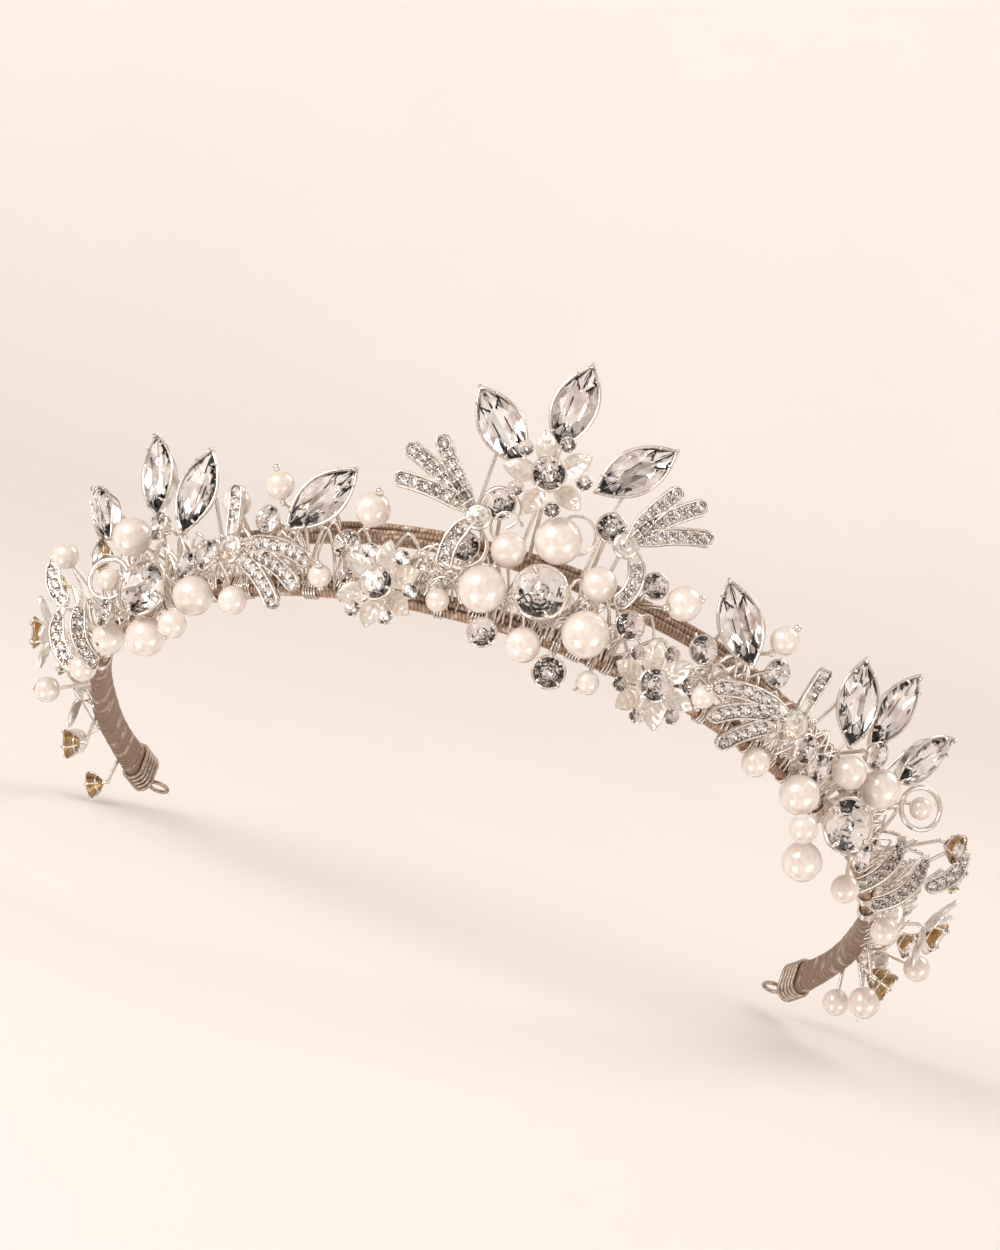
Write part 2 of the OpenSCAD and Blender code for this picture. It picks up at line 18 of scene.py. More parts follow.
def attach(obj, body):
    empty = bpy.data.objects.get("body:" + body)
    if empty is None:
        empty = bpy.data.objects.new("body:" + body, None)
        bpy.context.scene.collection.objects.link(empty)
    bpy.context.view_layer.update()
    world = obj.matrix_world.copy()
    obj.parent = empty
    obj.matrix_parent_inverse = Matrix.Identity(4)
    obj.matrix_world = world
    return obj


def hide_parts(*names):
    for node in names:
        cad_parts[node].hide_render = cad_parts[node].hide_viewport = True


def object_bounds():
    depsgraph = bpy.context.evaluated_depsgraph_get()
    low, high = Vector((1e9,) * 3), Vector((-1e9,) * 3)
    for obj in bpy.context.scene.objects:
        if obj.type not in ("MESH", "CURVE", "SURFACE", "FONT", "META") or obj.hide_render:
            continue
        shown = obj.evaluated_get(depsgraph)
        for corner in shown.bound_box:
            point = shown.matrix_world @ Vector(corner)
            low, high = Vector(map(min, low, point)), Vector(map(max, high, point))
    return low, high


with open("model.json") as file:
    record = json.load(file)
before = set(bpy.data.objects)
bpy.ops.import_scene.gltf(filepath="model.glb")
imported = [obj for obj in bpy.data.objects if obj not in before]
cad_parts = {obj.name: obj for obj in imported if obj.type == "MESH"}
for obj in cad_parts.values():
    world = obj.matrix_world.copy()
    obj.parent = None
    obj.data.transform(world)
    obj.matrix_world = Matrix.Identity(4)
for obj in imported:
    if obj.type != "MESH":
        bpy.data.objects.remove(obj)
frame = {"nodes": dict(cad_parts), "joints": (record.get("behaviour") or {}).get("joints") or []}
cad_box = [list(corner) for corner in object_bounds()]
rng = random.Random(7)

# ---------------------------------------------------------------- dimensions
# Millimetres and degrees in the ring's frame, where nothing else is said
MAIN = "tiara"
TILT = 32
FLARE = 20
RING_R = 75
UPPER_LIFT, UPPER_RISE = 2.8, 7.8
LOWER_LIFT = 0.5
JOIN_LIFT, JOIN_GAP = 2.3, 1.45
JOIN_START, JOIN_RUN = 73, 7.5
RAIL_END = 80
RAIL_H, RAIL_T = 3.8, 2.2
STRAND_R, STRAND_RISE, STRAND_SIDE = 0.5, 1.24, 0.52
THREAD_DEPTH, THREAD_PITCH = 0.17, 0.7
BAND_END = 118
BAND_H, BAND_T = 6.2, 3
BINDING_H, BINDING_T = 5.8, 2.52
BINDING_DEPTH, BINDING_PITCH = 0.32, 0.85
COIL_START, COIL_TURNS, COIL_WIRE = 113, 5, 0.42
EYELET_ANGLE = BAND_END + 3.4
EYELET_R = 1.5
EYELET_WIRE = 0.8
PETAL_L, PETAL_W, PETAL_REACH, PETAL_TILT = 6.6, 3.8, 4.9, 18
HUB_R = 2.4
FINGER_W = 2.9
PAVE_D, PAVE_PITCH = 1.85, 2.0
RING_R_SMALL, RING_WIRE = 3.7, 0.45
CLUSTER_TURN, RING_TURN = 20, 40
SMALL_PEARL_R = 3.2
STEM_NODES = ("centre_stems", "right_stems", "left_stems")

# Depth of a stone's widest line under its top, as a share of the radius and in millimetres
STONE_SEAT, NAVETTE_SEAT = 0.32, 1.3

# Cups farther round the ring than this show gold foil
FOIL_FROM = 62

# How near a stem comes to the rail that it is bound to, and how far apart two bindings are in degrees
GRIP_REACH, GRIP_APART = 1.2, 0.9

# Flowers and sprays of each node: place (angle, height, out), leaves, direction of the first leaf
FLOWERS = {
    "crest_flower": [((-0.5, 20.5, 8), 5, 40)],
    "right_flower": [((19, -1.5, 3), 6, -6)],
    "left_flower": [((-16.5, 0, 3), 6, 26)],
    "right_rear_flowers": [((87, 4, 9), 6, 0), ((75.5, 2, 4), 3, 90), ((100.5, 5, 4), 3, 90)],
    "left_rear_flowers": [((-86, 6, 9), 6, 30), ((-77, 3, 3.5), 3, 42), ((-97, 4, 4), 3, 25)],
}

# Fingers set with small stones: [direction of the chord, length, bend]
BOW = [(190, 18, 44), (205, 17, 40), (222, 15, 30), (90, 10, -12)]
RIGHT_FAN = [(67, 12, -22), (49, 14, -26), (27, 13.5, -30), (286, 10.5, -100)]
LEFT_FAN = [(130, 14, -14), (149, 16, 14), (168, 14.5, 26), (250, 10, 60)]

# Groups of fingers: node, place, fingers, knot radius, bare length at the root, mirrored
FINGER_GROUPS = [
    ("right_fan", (9.5, 14.5, 8), RIGHT_FAN, 2.2, 3.5, False),
    ("left_fan", (-6.5, 11.5, 8), LEFT_FAN, 2.2, 3.5, False),
    ("right_bow", (38, 4.5, 4.5), BOW, 2.6, 4.5, False),
    ("left_bow", (-38, 4, 4.5), BOW, 2.6, 4.5, True),
]

# Loops at the back: side, place, (direction, length, bend), turn
REAR_LOOPS = [
    ("right", (66, 6, 5), (262, 14, -70), -75),
    ("right", (70, 6, 8), (262, 14, -70), -70),
    ("right", (79, 15, 9), (262, 10, -60), -60),
    ("left", (-69, 3, 7), (278, 13, 70), 75),
    ("left", (-74, 3, 9), (278, 12, 70), 70),
    ("left", (-79, 16, 9), (278, 10, 60), 60),
]

# Smooth wire rings: node, place, turn
WIRE_RINGS = [
    ("centre_wire_ring", (-7.5, 8, 5), 0),
    ("right_pearl_ring", (61, 8, 9), -RING_TURN),
    ("left_pearl_ring", (-59.5, 2, 8), RING_TURN),
]

# Open loops of wire round the crest flower: place, radius, first angle, sweep
CREST_ARCS = [
    ((-4.6, 14.5, 6.5), 3.4, -60, 290),
    ((-3.4, 12, 6), 2.6, 20, 250),
    ((4.2, 14, 6.5), 3.2, 200, -280),
    ((2.6, 11.5, 6), 2.4, 150, -250),
]

# Loose wires among the ornaments: name, first angle, last angle, number of wires, how far out they reach
WIRE_NESTS = [
    ("centre_wires", -15, 14, 72, 4.2),
    ("right_wires", 20, 62, 56, 4),
    ("left_wires", -62, -20, 56, 4),
    ("right_rear_wires", 62, 98, 44, 5),
    ("left_rear_wires", -98, -62, 44, 5),
]

# Camera: aimed at the origin and then turned by its aim, across and up
CAMERA_REACH = 600
CAMERA_BELOW, CAMERA_YAW, CAMERA_ROLL = 24.65, -3.9, 19.57
CAMERA_AIM_X, CAMERA_AIM_Y = -0.708, 3.332
CAMERA_LENS, CAMERA_SENSOR = 92.4192, 36

# Lights, all at the same reach: name, where each shows on a mirror ball, size, energy, colour
LIGHT_REACH = 0.9
WARM = (1.0, 0.97, 0.94)
LIGHTS = [
    ("key", (-0.26, 0.36), 0.46, 3.6, (1.0, 0.985, 0.96)),
    ("low left", (-0.34, -0.36), 0.52, 1.5, WARM),
    ("low right", (0.36, -0.30), 0.52, 1.5, WARM),
    ("rim", (0.62, 0.52), 0.5, 2, WARM),
]


def rot(axis, degrees):
    return Matrix.Rotation(math.radians(degrees), 4, axis)


def shift(x, y, z):
    return Matrix.Translation((x, y, z))


# From ring millimetres to the row's metres, tilted as worn, and back
WORN = Matrix.Scale(0.001, 4) @ rot("X", -TILT)
TO_RING = WORN.inverted()


def on_ring(place, turn=0):
    """The frame of an ornament: Z outward, Y towards the crest, X towards larger angles."""
    angle, height, out = place
    reach = RING_R + out + height * math.tan(math.radians(FLARE))
    return rot("Z", angle) @ shift(0, -reach, height) @ rot("X", 90 + FLARE) @ rot("Y", turn)


def outward(centre, turn=0):
    """The same frame, from the centre of a solid instead of from its place."""
    angle = math.degrees(math.atan2(centre[0], -centre[1]))
    return rot("Z", angle) @ rot("X", 90 + FLARE) @ rot("Y", turn)


# ---------------------------------------------------------------- reading the CAD
def solids(node):
    """The vertices of each separate solid of a node, in ring millimetres."""
    mesh = frame["nodes"][node].data
    count = len(mesh.vertices)
    points = np.empty(count * 3)
    mesh.vertices.foreach_get("co", points)
    points = points.reshape(-1, 3)
    keys, place = np.unique(np.round(points * 1e6).astype(np.int64), axis=0, return_inverse=True)
    place = place.reshape(-1)
    label = np.arange(len(keys))
    edges = np.empty(len(mesh.edges) * 2, dtype=np.int64)
    mesh.edges.foreach_get("vertices", edges)
    a, b = place[edges.reshape(-1, 2)].T
    while True:
        low = np.minimum(label[a], label[b])
        new = label.copy()
        np.minimum.at(new, a, low)
        np.minimum.at(new, b, low)
        new = new[new]
        if (new == label).all():
            break
        label = new
    ring = np.array(TO_RING)
    points = keys / 1e6 @ ring[:3, :3].T + ring[:3, 3]
    return [points[label == k] for k in np.unique(label)]


def middle(points):
    return (points.min(0) + points.max(0)) / 2


def ball_of(points):
    size = points.max(0) - points.min(0)
    return middle(points), size[2] / 2


def stone_of(points, turn=0):
    """The frame and radius of a round stone, with its widest line at Z = 0."""
    centre = middle(points)
    turned = outward(centre, turn)
    local = (points - centre) @ np.array(turned.to_3x3())
    low, high = local.min(0), local.max(0)
    radius = (high[0] - low[0]) / 2
    seat = Vector(((low[0] + high[0]) / 2, (low[1] + high[1]) / 2, high[2] - STONE_SEAT * radius))
    return Matrix.Translation(Vector(centre) + turned.to_3x3() @ seat) @ turned, radius


def navette_of(points):
    """The frame, length and width of a pointed stone, with its long axis on Y and its face on +Z."""
    centre = points.mean(0)
    spread = points - centre
    values, axes = np.linalg.eigh(spread.T @ spread)
    normal, long_axis = axes[:, 0], axes[:, 2]
    angle = math.atan2(centre[0], -centre[1])
    if normal @ np.array([math.sin(angle), -math.cos(angle), 0]) < 0:
        normal = -normal
    if long_axis[2] < 0:
        long_axis = -long_axis
    side = np.cross(long_axis, normal)
    local = spread @ np.stack([side, long_axis, normal], 1)
    low, high = local.min(0), local.max(0)
    across = side * (low[0] + high[0]) / 2
    along = long_axis * (low[1] + high[1]) / 2
    seat = centre + across + along + normal * (high[2] - NAVETTE_SEAT)
    rows = [[side[i], long_axis[i], normal[i], seat[i]] for i in range(3)]
    return Matrix(rows + [[0, 0, 0, 1]]), high[1] - low[1], high[0] - low[0]


# ---------------------------------------------------------------- mesh helpers
class Mesh:
    """Collects closed shapes, (vertices, faces), in ring millimetres, then becomes one object."""

    def __init__(self):
        self.verts, self.faces, self.slots, self.wind = [], [], [], []
        self.count = 0

    def add(self, shape, matrix=None, slot=0):
        verts, faces = shape
        verts = np.asarray(verts, float)
        if matrix is not None:
            m = np.array(matrix)
            verts = verts @ m[:3, :3].T + m[:3, 3]
        self.verts.append(verts)
        self.faces += [tuple(i + self.count for i in face) for face in faces]
        self.slots += [slot] * len(faces)
        self.count += len(verts)

    def build(self, name, materials, slot, replaces=(), body=MAIN, crisp=65, smooth=True, fix=True):
        """Makes the object. Edges sharper than crisp degrees stay sharp, and fix turns the faces outward."""
        m = np.array(WORN)
        verts = np.vstack(self.verts) @ m[:3, :3].T + m[:3, 3]
        mesh = bpy.data.meshes.new(name)
        mesh.from_pydata(verts.tolist(), [], self.faces)
        for item in materials:
            mesh.materials.append(item)
        mesh.polygons.foreach_set("material_index", self.slots)
        if fix:
            work = bmesh.new()
            work.from_mesh(mesh)
            bmesh.ops.recalc_face_normals(work, faces=work.faces)
            work.to_mesh(mesh)
            work.free()
        mesh.polygons.foreach_set("use_smooth", [smooth] * len(mesh.polygons))
        if smooth and crisp:
            mesh.set_sharp_from_angle(angle=math.radians(crisp))
        if self.wind:
            layer = mesh.color_attributes.new("wind", "FLOAT_COLOR", "POINT")
            layer.data.foreach_set("color", np.concatenate(self.wind).reshape(-1))
        mesh.update()
        piece = bpy.data.objects.new(name, mesh)
        bpy.context.scene.collection.objects.link(piece)
        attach(piece, body)
        if replaces:
            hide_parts(*replaces)


def grid_faces(rows, columns, wrap_rows=False, wrap_columns=True):
    """Quads of a grid whose rows are rings of the given number of columns."""
    faces = []
    for i in range(rows if wrap_rows else rows - 1):
        k = (i + 1) % rows
        for j in range(columns if wrap_columns else columns - 1):
            n = (j + 1) % columns
            faces.append((i * columns + j, i * columns + n, k * columns + n, k * columns + j))
    return faces


def capped_faces(rows, columns):
    """The same, with a face across the first and the last ring."""
    last = (rows - 1) * columns
    caps = [tuple(range(columns))[::-1], tuple(range(last, last + columns))]
    return grid_faces(rows, columns) + caps


def tube(points, radius, sides, closed=False):
    """A round wire along a line of points. radius is one number, or one for each point."""
    p = np.asarray(points, float)
    n = len(p)
    radius = np.broadcast_to(radius, (n,))
    if closed:
        tangent = np.roll(p, -1, 0) - np.roll(p, 1, 0)
    else:
        tangent = np.gradient(p, axis=0)
    tangent /= np.linalg.norm(tangent, axis=1)[:, None]
    normal = np.empty_like(p)
    helper = np.eye(3)[np.argmin(np.abs(tangent[0]))]
    last = np.cross(tangent[0], helper)
    for i in range(n):
        last = last - tangent[i] * (last @ tangent[i])
        last /= np.linalg.norm(last)
        normal[i] = last
    side = np.cross(tangent, normal)
    a = np.arange(sides) * 2 * math.pi / sides
    ring = normal[:, None] * np.cos(a)[None, :, None] + side[:, None] * np.sin(a)[None, :, None]
    verts = (p[:, None] + ring * radius[:, None, None]).reshape(-1, 3)
    return verts, grid_faces(n, sides, True) if closed else capped_faces(n, sides)


def lathe(profile, segments):
    """A body turned about Z. A profile that starts and ends on the axis is closed there."""
    verts, rings = [], []
    for r, z in profile:
        if r < 1e-6:
            rings.append([len(verts)] * segments)
            verts.append((0, 0, z))
        else:
            rings.append(list(range(len(verts), len(verts) + segments)))
            for k in range(segments):
                a = 2 * math.pi * k / segments
                verts.append((r * math.cos(a), r * math.sin(a), z))
    pairs = list(zip(rings, rings[1:]))
    if profile[0][0] > 1e-6:
        pairs.append((rings[-1], rings[0]))
    faces = []
    for low, high in pairs:
        for k in range(segments):
            n = (k + 1) % segments
            corners = dict.fromkeys((low[k], low[n], high[n], high[k]))
            faces.append(tuple(corners))
    return verts, faces


def ball(radius, segments=10, rings=6):
    turns = [math.pi * i / rings for i in range(1, rings)]
    arc = [(radius * math.sin(a), -radius * math.cos(a)) for a in turns]
    return lathe([(0, -radius)] + arc + [(0, radius)], segments)


def torus(radius, wire, segments, sides, flat=1.0):
    """A ring of wire round Z, whose section is flat times as high as it is wide."""
    turns = [2 * math.pi * k / sides for k in range(sides)]
    return lathe([(radius + wire * math.cos(a), flat * wire * math.sin(a)) for a in turns], segments)


# ---------------------------------------------------------------- stones
def gem(length, width, crown, depth, keel, table):
    """A faceted stone with its widest line at Z = 0: its vertices, crown faces and pavilion faces.

    keel is the bottom edge's share of the length, or 0 for a round stone that ends in a point.
    """
    def point(ring, angle, z):
        sx, sy = math.cos(math.radians(angle)), math.sin(math.radians(angle))
        if keel:
            sx = sx * abs(sx)
        return (ring * sx * width / 2, ring * sy * length / 2, z)

    verts = [point(table, 45 * i + 22.5, crown) for i in range(8)]
    verts += [point(0.5 + table / 2, 45 * i, 0.62 * crown) for i in range(8)]
    verts += [point(1, 22.5 * j, 0.02) for j in range(16)]
    verts += [point(1, 22.5 * j, -0.06 * width) for j in range(16)]
    verts += [point(0.42, 45 * i + 22.5, -0.62 * depth) for i in range(8)]
    verts += [(0, keel * length / 2, -depth), (0, -keel * length / 2, -depth)]
    # First vertex of the table, the main facets, both edges of the girdle, the pavilion and the culet
    t, m, g, h, p, c = 0, 8, 16, 32, 48, 56
    if keel:
        tips = [(c, c + 1), (c,), (c,), (c,), (c + 1, c), (c + 1,), (c + 1,), (c + 1,)]
    else:
        tips = [(c,)] * 8
        verts.pop()
    top = [tuple(range(8))]
    bottom = []
    for i in range(8):
        k, back = (i + 1) % 8, (i - 1) % 8
        j = 2 * i
        top += [
            (t + back, m + i, t + i),
            (t + i, m + i, g + j + 1, m + k),
            (m + i, g + j, g + j + 1),
            (m + i, g + (j - 1) % 16, g + j),
        ]
        bottom += [
            (p + back, h + j, p + i, *tips[i]),
            (p + i, h + j, h + j + 1),
            (p + i, h + j + 1, h + (j + 2) % 16),
        ]
    for j in range(16):
        n = (j + 1) % 16
        top.append((g + j, h + j, h + n, g + n))
    return verts, top, bottom


def add_gem(mesh, matrix, length, width, crown, depth, keel=0.0, table=0.58):
    """Adds a stone whose crown takes the first material and whose pavilion takes the second."""
    verts, top, bottom = gem(length, width, crown, depth, keel, table)
    start = mesh.count
    mesh.add((verts, top), matrix, 0)
    mesh.faces += [tuple(i + start for i in face) for face in bottom]
    mesh.slots += [1] * len(bottom)


def round_gem(mesh, matrix, radius):
    turned = matrix @ rot("Z", rng.uniform(0, 45))
    depth = rng.uniform(0.66, 0.8) * radius
    add_gem(mesh, turned, 2 * radius, 2 * radius, 0.17 * radius, depth, table=0.66)


def claw(mesh, matrix, reach, low, high, wire):
    """A claw that rises beside the stone and is bent over its edge."""
    path = [
        (reach * 0.62, 0, low), (reach * 0.98, 0, low * 0.35), (reach + wire * 0.7, 0, 0.05),
        (reach + wire * 0.2, 0, high * 0.6), (reach * 0.86, 0, high), (reach * 0.78, 0, high * 1.02),
    ]
    mesh.add(tube(path, [wire, wire, wire, wire * 1.05, wire * 1.1, wire * 0.5], 7), matrix)


# Profile of a cup, outside and then inside, as shares of its stone's radius
CUP = [
    (0, -1.0), (0.36, -1.0), (0.42, -0.94), (1.04, -0.16), (1.12, -0.08),
    (1.13, 0.04), (1.06, 0.08), (1.02, 0.02), (0.98, -0.12), (0, -0.93),
]


def cup(mesh, matrix, r, slot):
    """A small cup with a rounded rim, a wire round its waist and four claws, for a stone of radius r."""
    mesh.add(lathe([(x * r, z * r) for x, z in CUP], 28), matrix, slot)
    mesh.add(torus(0.66 * r, 0.05 * r + 0.06, 24, 6), matrix @ shift(0, 0, -0.62 * r))
    start = rng.uniform(0, 90)
    for i in range(4):
        claw(mesh, matrix @ rot("Z", start + 90 * i), r, -0.85 * r, 0.24 * r, 0.08 * r + 0.05)


def lens(length, width, count):
    """Points of a pointed oval, its long axis on Y."""
    points = []
    for k in range(count):
        a = 2 * math.pi * k / count
        c = math.cos(a)
        points.append((c * abs(c) * width / 2, math.sin(a) * length / 2))
    return points


# Claws of a pointed stone from foot to tip: share of the outline across and along, height, wire radius
END_CLAW = [
    (0, 0.72, -2.3, 0.32), (0, 1.01, -0.9, 0.3), (0, 1.05, 0.2, 0.34), (0, 1.0, 0.62, 0.36),
    (0, 0.93, 0.78, 0.2),
]
SIDE_CLAW = [
    (0.66, 0.72, -2.3, 0.24), (1.0, 1.0, -0.7, 0.24), (1.1, 1.04, 0.15, 0.26), (1.02, 1.0, 0.62, 0.27),
    (0.84, 0.95, 0.9, 0.16),
]

# Shell of the basket from its floor over the edge and back down: share of the outline, height
BASKET = [(0.0, -2.5), (0.74, -2.5), (0.78, -2.2), (1.0, -0.35), (0.93, -0.3), (0.7, -2.15), (0.0, -2.3)]


def navette_cup(mesh, matrix, length, width):
    """The basket of a pointed stone: a shell with a rail at its edge and at its foot, and six claws."""
    rail = [(x, y, -0.15) for x, y in lens(length + 0.5, width + 0.5, 32)]
    foot = [(x, y, -2.2) for x, y in lens(length * 0.72, width * 0.66, 32)]
    mesh.add(tube(rail, 0.26, 7, closed=True), matrix)
    mesh.add(tube(foot, 0.3, 7, closed=True), matrix)
    for k in (4, 8, 12, 20, 24, 28):
        x, y = lens(length, width, 32)[k]
        shape, sides = (END_CLAW, 8) if k in (8, 24) else (SIDE_CLAW, 7)
        path = [(x * across, y * along, z) for across, along, z, _ in shape]
        mesh.add(tube(path, [row[3] for row in shape], sides), matrix)
    edge = lens(length + 0.3, width + 0.3, 32)
    verts = [(x * share, y * share, z) for share, z in BASKET for x, y in edge]
    mesh.add((verts, grid_faces(len(BASKET), 32)), matrix)


# ---------------------------------------------------------------- materials
BLACK, WHITE = (0.0, 0.0, 0.0), (1.0, 1.0, 1.0)


def nodes_of(name):
    """A new material, its node tree and its shader."""
    item = bpy.data.materials.new(name)
    item.use_nodes = True
    tree = item.node_tree
    return item, tree, tree.nodes["Principled BSDF"]


def set_inputs(node, values):
    for name, value in values.items():
        node.inputs[name].default_value = value


def noise_node(tree, scale, detail):
    where = tree.nodes.new("ShaderNodeTexCoord")
    node = tree.nodes.new("ShaderNodeTexNoise")
    set_inputs(node, {"Scale": scale, "Detail": detail, "Roughness": 0.6})
    tree.links.new(where.outputs["Object"], node.inputs["Vector"])
    return node


def ramp_node(tree, source, stops):
    node = tree.nodes.new("ShaderNodeValToRGB")
    ramp = node.color_ramp
    while len(ramp.elements) < len(stops):
        ramp.elements.new(0.5)
    for element, (at, colour) in zip(ramp.elements, stops):
        element.position = at
        element.color = (*colour, 1)
    tree.links.new(source, node.inputs["Fac"])
    return node


def range_node(tree, source, low, high):
    node = tree.nodes.new("ShaderNodeMapRange")
    set_inputs(node, {"To Min": low, "To Max": high})
    tree.links.new(source, node.inputs["Value"])
    return node


def bump_node(tree, shader, source, distance):
    node = tree.nodes.new("ShaderNodeBump")
    set_inputs(node, {"Strength": 1.0, "Distance": distance})
    tree.links.new(source, node.inputs["Height"])
    tree.links.new(node.outputs["Normal"], shader.inputs["Normal"])


def vary(tree, shader, scale, detail, stops, rough):
    """Lets one noise choose the colour, along a ramp, and the roughness, between two values."""
    cloud = noise_node(tree, scale, detail)
    colour = ramp_node(tree, cloud.outputs["Fac"], stops)
    tree.links.new(colour.outputs["Color"], shader.inputs["Base Color"])
    spread = range_node(tree, cloud.outputs["Fac"], *rough)
    tree.links.new(spread.outputs["Result"], shader.inputs["Roughness"])


def metal(name, light, dark, rough, scale=900, grain=0.00002, metallic=1.0):
    """Metal between two colours and two roughnesses, with a fine grain whose height is in metres."""
    item, tree, shader = nodes_of(name)
    set_inputs(shader, {"Metallic": metallic})
    vary(tree, shader, scale, 4.0, [(0.3, dark), (0.62, light)], rough)
    fine = noise_node(tree, scale * 4, 2.0)
    bump_node(tree, shader, fine.outputs["Fac"], grain)
    return item


silver = metal("silver plate", (0.97, 0.93, 0.88), (0.84, 0.74, 0.65), (0.10, 0.24))
satin = metal("satin silver leaf", (0.98, 0.945, 0.90), (0.90, 0.83, 0.76), (0.22, 0.36), 700, 0.00003, 0.85)
pave_metal = metal("pave silver", (0.97, 0.935, 0.89), (0.82, 0.72, 0.63), (0.12, 0.28), 1100, 0.00003)
gold = metal("gold foil back", (0.64, 0.44, 0.23), (0.30, 0.18, 0.085), (0.2, 0.42), 800, 0.00003)
end_wire = metal("champagne wire", (0.66, 0.54, 0.45), (0.34, 0.25, 0.19), (0.26, 0.46), 1400, 0.00004)


def make_pearl():
    item, tree, shader = nodes_of("nacre pearl")
    vary(tree, shader, 260, 3.0, [
        (0.30, (0.80, 0.70, 0.63)), (0.5, (0.86, 0.78, 0.715)), (0.7, (0.89, 0.835, 0.78)),
    ], (0.2, 0.3))
    set_inputs(shader, {
        "Metallic": 0.22, "IOR": 1.65, "Coat Weight": 0.9, "Coat Roughness": 0.08, "Coat IOR": 1.55,
        "Sheen Weight": 0.25, "Sheen Tint": (1.0, 0.86, 0.82, 1),
    })
    fine = noise_node(tree, 1800, 2.0)
    bump_node(tree, shader, fine.outputs["Fac"], 0.000012)
    return item


def make_crystal():
    item, tree, shader = nodes_of("clear crystal")
    set_inputs(shader, {"Transmission Weight": 1.0, "IOR": 1.52})
    vary(tree, shader, 200, 1.0, [(0.35, (0.95, 0.95, 0.97)), (0.65, (1.0, 0.995, 0.985))], (0.0, 0.02))
    return item


def make_mirror():
    item, tree, shader = nodes_of("mirror back")
    set_inputs(shader, {"Metallic": 1.0})
    vary(tree, shader, 320, 1.0, [
        (0.34, (0.68, 0.62, 0.59)), (0.5, (0.94, 0.915, 0.90)), (0.66, (0.98, 0.97, 0.95)),
    ], (0.02, 0.08))
    return item


def make_thread(name, gap, side, top, shine):
    """Thread wound round a wire, in three colours from the gap between turns to the top of a turn: painted
    shade darkens the gaps and painted light lightens the tops.

    The wind attribute holds the height across a turn, which places the painted shade and light, and a number
    for each turn that picks its glints.
    """
    item, tree, shader = nodes_of(name)
    wind = tree.nodes.new("ShaderNodeAttribute")
    wind.attribute_name = "wind"
    split = tree.nodes.new("ShaderNodeSeparateColor")
    tree.links.new(wind.outputs["Color"], split.inputs["Color"])
    # Painted shade and light: the colour is dark in the gap between turns and lighter towards the top of each
    # turn
    crest = ramp_node(tree, split.outputs["Red"], [(0.0, gap), (0.5, side), (1.0, top)])
    glint = ramp_node(tree, split.outputs["Green"], [(0.6, BLACK), (0.85, (shine, shine, shine))])
    mix = tree.nodes.new("ShaderNodeMix")
    mix.data_type = "RGBA"
    mix.inputs["B"].default_value = (0.86, 0.77, 0.69, 1)
    grain = noise_node(tree, 420, 2.0)
    specks = ramp_node(tree, grain.outputs["Fac"], [(0.46, BLACK), (0.6, WHITE)])
    broken = tree.nodes.new("ShaderNodeMath")
    broken.operation = "MULTIPLY"
    tree.links.new(glint.outputs["Color"], broken.inputs[0])
    tree.links.new(specks.outputs["Color"], broken.inputs[1])
    tree.links.new(broken.outputs["Value"], mix.inputs["Factor"])
    tree.links.new(crest.outputs["Color"], mix.inputs["A"])
    tree.links.new(mix.outputs["Result"], shader.inputs["Base Color"])
    metallic = range_node(tree, broken.outputs["Value"], 0.2, 0.85)
    tree.links.new(metallic.outputs["Result"], shader.inputs["Metallic"])
    cloud = noise_node(tree, 1500, 3.0)
    spread = range_node(tree, cloud.outputs["Fac"], 0.32, 0.6)
    tree.links.new(spread.outputs["Result"], shader.inputs["Roughness"])
    bump_node(tree, shader, cloud.outputs["Fac"], 0.00005)
    return item


pearl = make_pearl()
crystal = make_crystal()
mirror = make_mirror()
# Each thread's first three colours run from painted shade in the gaps between turns, through its mid tone, to
# painted light on the tops of the turns
thread = make_thread("wound thread", (0.04, 0.02, 0.012), (0.22, 0.135, 0.085), (0.52, 0.36, 0.25), 0.85)
binding = make_thread("binding thread", (0.02, 0.011, 0.008), (0.13, 0.08, 0.055), (0.36, 0.245, 0.175), 0.45)


# ---------------------------------------------------------------- rails
def rail_frame(rail, angle):
    """Centre, outward and up directions of a rail at one angle."""
    a = math.radians(angle)
    out = np.array([math.sin(a), -math.cos(a), 0.0])
    up = np.array([0.0, 0.0, 1.0])
    if rail == "upper":
        tilt = np.array(rot("X", -UPPER_RISE).to_3x3())
        return tilt @ out * RING_R + up * UPPER_LIFT, tilt @ out, tilt @ up
    lift = LOWER_LIFT if rail == "lower" else JOIN_LIFT
    return out * RING_R + up * lift, out, up


def smooth_step(x):
    x = min(max(x, 0.0), 1.0)
    return x * x * (3 - 2 * x)


